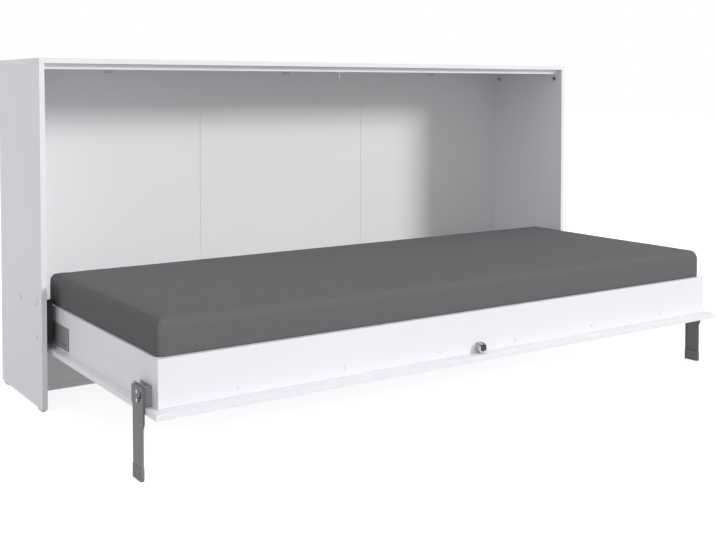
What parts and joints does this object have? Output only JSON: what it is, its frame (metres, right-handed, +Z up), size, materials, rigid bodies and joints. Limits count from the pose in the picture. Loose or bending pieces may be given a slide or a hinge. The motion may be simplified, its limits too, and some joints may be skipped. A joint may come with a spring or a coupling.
{
  "type": "cabinet bed",
  "caption": "Low white cabinet whose front folds down sideways as a bed, with mattress, slatted base, gas struts, roller catch and hinged legs.",
  "frame": {"origin": "centre of the open bed's outline, on the floor", "axes": "+X to the right along the bed for a person who faces the cabinet, +Y towards the wall, +Z up"},
  "size_m": [2.114, 1.164, 1.04],
  "materials": {
    "board": "white melamine, fine matt",
    "back_sheet": "white lacquered hardboard",
    "spruce": "planed",
    "zinc": "zinc plated",
    "grey_steel": "powder coated, satin",
    "black_steel": "satin",
    "chrome": "polished",
    "white_plastic": "matt",
    "black_plastic": "nylon, matt",
    "catch_steel": "zinc plated, satin",
    "grey_plastic": "matt",
    "mattress_cover": "smooth knitted cover"
  },
  "bodies": {
    "cabinet": {"side_panel_left": "board", "side_panel_right": "board", "top_panel": "board", "top_stiffener": "board", "back_panel_left": "back_sheet", "back_panel_middle": "back_sheet", "back_panel_right": "back_sheet", "back_joint_strips": "white_plastic", "base_board": "board", "kick_board": "board", "glides": "white_plastic", "cabinet_cams": "zinc", "wall_brackets": "zinc", "striker": "zinc", "cabinet_hinge_plate_left": "black_steel", "cabinet_hinge_plate_right": "black_steel", "pivot_pins": "zinc", "stop_studs": "zinc", "strut_anchors": "zinc"},
    "bed": {"bed_panel": "board", "front_rail": "board", "rear_rail": "board", "end_rail_left": "board", "end_rail_right": "board", "long_battens": "spruce", "end_battens": "spruce", "slats": "spruce", "bed_hinge_plate_left": "grey_steel", "bed_hinge_plate_right": "grey_steel", "pivot_bushes": "black_plastic", "mattress": "mattress_cover", "catch_body": "catch_steel", "leg_bracket_left": "grey_steel", "leg_bracket_right": "grey_steel", "leg_rivets": "zinc"},
    "leg_left": {"leg_bar_left": "grey_steel", "foot_cap_left": "grey_plastic"},
    "strut_cylinder_left": {"strut_cylinder_left": "black_steel"},
    "strut_rod_left": {"strut_rod_left": "chrome"},
    "catch_roller_left": {"catch_roller_left": "chrome"},
    "leg_right": {"leg_bar_right": "grey_steel", "foot_cap_right": "grey_plastic"},
    "strut_cylinder_right": {"strut_cylinder_right": "black_steel"},
    "strut_rod_right": {"strut_rod_right": "chrome"},
    "catch_roller_right": {"catch_roller_right": "chrome"}
  },
  "joints": [
    {"name": "bed_fold", "type": "hinge", "parent": "cabinet", "child": "bed", "pos_m": [0, 0.221, 0.215], "axis": [-1, 0, 0], "range_deg": [0, 90]},
    {"name": "leg_left_fold", "type": "hinge", "parent": "bed", "child": "leg_left", "pos_m": [-1.03015, -0.486, 0.2168], "axis": [1, 0, 0], "range_deg": [0, 90]},
    {"name": "strut_left_swing", "type": "hinge", "parent": "cabinet", "child": "strut_cylinder_left", "pos_m": [-1.0215, 0.378, 0.312], "axis": [-1, 0, 0], "range_deg": [0, 9]},
    {"name": "strut_left_slide", "type": "slide", "parent": "strut_cylinder_left", "child": "strut_rod_left", "axis": [0, -0.6303, -0.7763], "range_m": [0, 0.0875]},
    {"name": "catch_roller_left_slide", "type": "slide", "parent": "bed", "child": "catch_roller_left", "axis": [-1, 0, 0], "range_m": [0, 0.0026], "stiffness_N_per_m": 600, "springref_m": -0.002},
    {"name": "leg_right_fold", "type": "hinge", "parent": "bed", "child": "leg_right", "pos_m": [1.03015, -0.486, 0.2168], "axis": [1, 0, 0], "range_deg": [0, 90]},
    {"name": "strut_right_swing", "type": "hinge", "parent": "cabinet", "child": "strut_cylinder_right", "pos_m": [1.0215, 0.378, 0.312], "axis": [-1, 0, 0], "range_deg": [0, 9]},
    {"name": "strut_right_slide", "type": "slide", "parent": "strut_cylinder_right", "child": "strut_rod_right", "axis": [0, -0.6303, -0.7763], "range_m": [0, 0.0875]},
    {"name": "catch_roller_right_slide", "type": "slide", "parent": "bed", "child": "catch_roller_right", "axis": [1, 0, 0], "range_m": [0, 0.0026], "stiffness_N_per_m": 600, "springref_m": -0.002}
  ],
  "couplings": [
    {"joint": "leg_left_fold", "follows": "bed_fold", "ratio": 1},
    {"joint": "strut_left_swing", "follows": "bed_fold", "ratio": 0.0999},
    {"joint": "strut_left_slide", "follows": "bed_fold", "m_per_rad": 0.055524},
    {"joint": "leg_right_fold", "follows": "bed_fold", "ratio": 1},
    {"joint": "strut_right_swing", "follows": "bed_fold", "ratio": 0.0999},
    {"joint": "strut_right_slide", "follows": "bed_fold", "m_per_rad": 0.055524}
  ]
}
